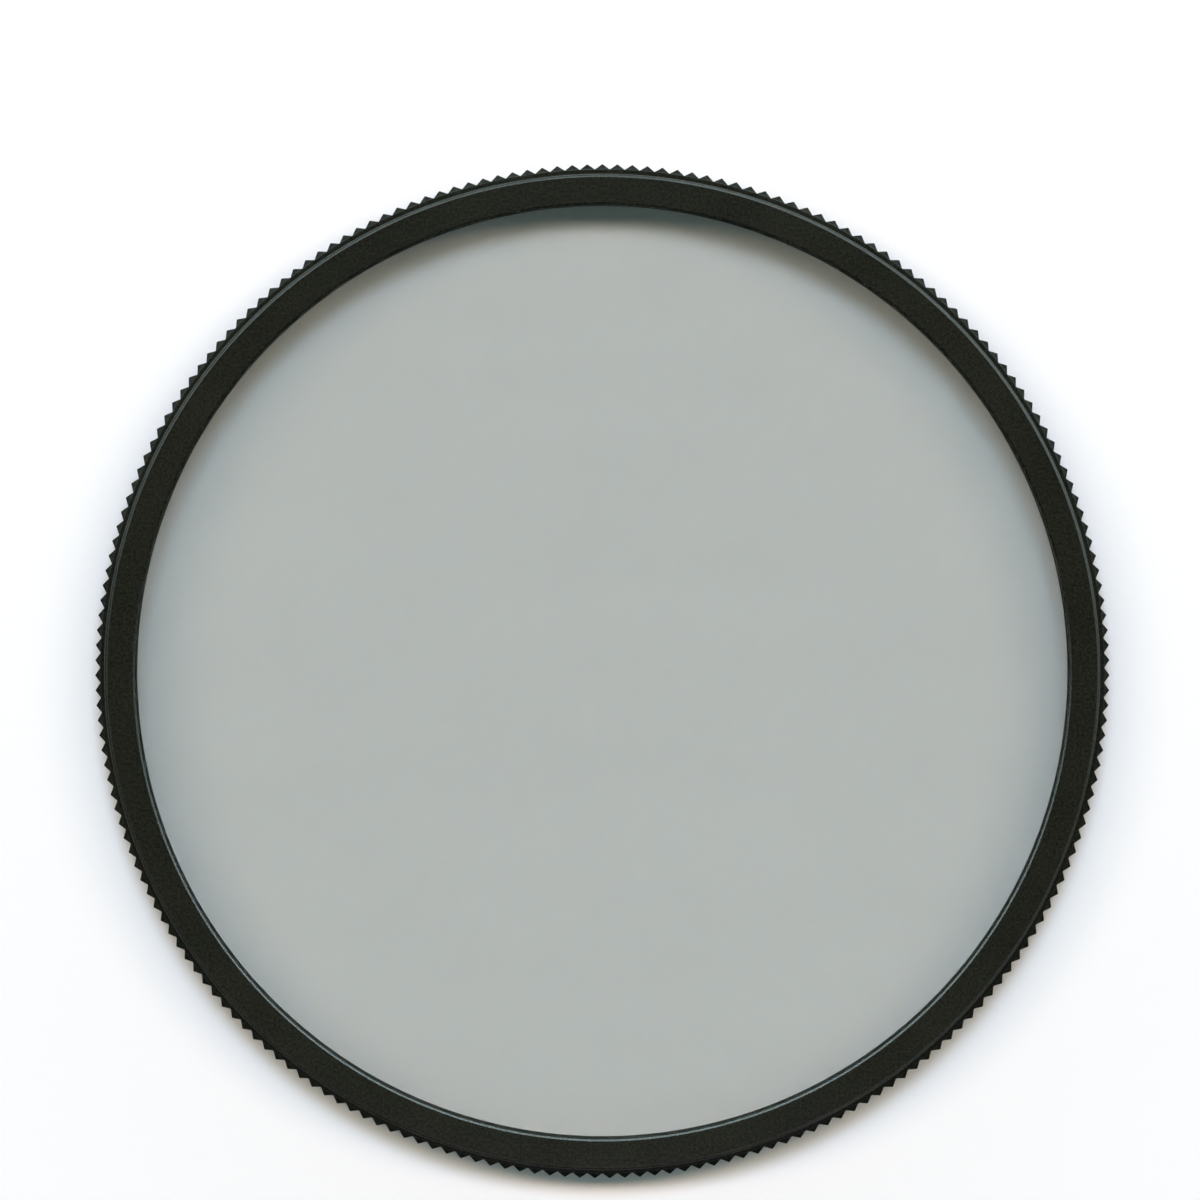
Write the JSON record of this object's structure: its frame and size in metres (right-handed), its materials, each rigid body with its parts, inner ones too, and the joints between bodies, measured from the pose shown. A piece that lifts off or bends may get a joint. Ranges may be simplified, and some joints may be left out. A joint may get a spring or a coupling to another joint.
{
  "type": "circular polarizing filter",
  "caption": "Slim round polarising filter for a lens: a threaded mount ring, and a knurled ring with grey laminated glass that turns on it.",
  "frame": {"origin": "centre of the front rim's plane, which the filter rests on", "axes": "+Z along the optical axis towards the lens, out of the lens thread; +Y to the top of the picture"},
  "size_m": [0.0786, 0.0786, 0.008],
  "materials": {
    "black_anodised": "satin black anodised, turned",
    "coated_glass": "polished, anti-reflection coated",
    "polariser": "neutral grey film",
    "retarder": "clear film",
    "spring_steel": "drawn wire"
  },
  "bodies": {
    "mount": {"rear_mount_ring": "black_anodised"},
    "rotating": {"rotating_ring": "black_anodised", "snap_ring": "spring_steel", "glass_retaining_ring": "black_anodised", "front_glass": "coated_glass", "polarising_film": "polariser", "quarter_wave_film": "retarder", "rear_glass": "coated_glass"}
  },
  "joints": [
    {"name": "ring_turn", "type": "hinge", "parent": "mount", "child": "rotating", "pos_m": [0, 0, 0.00425], "axis": [0, 0, 1], "continuous": true}
  ]
}
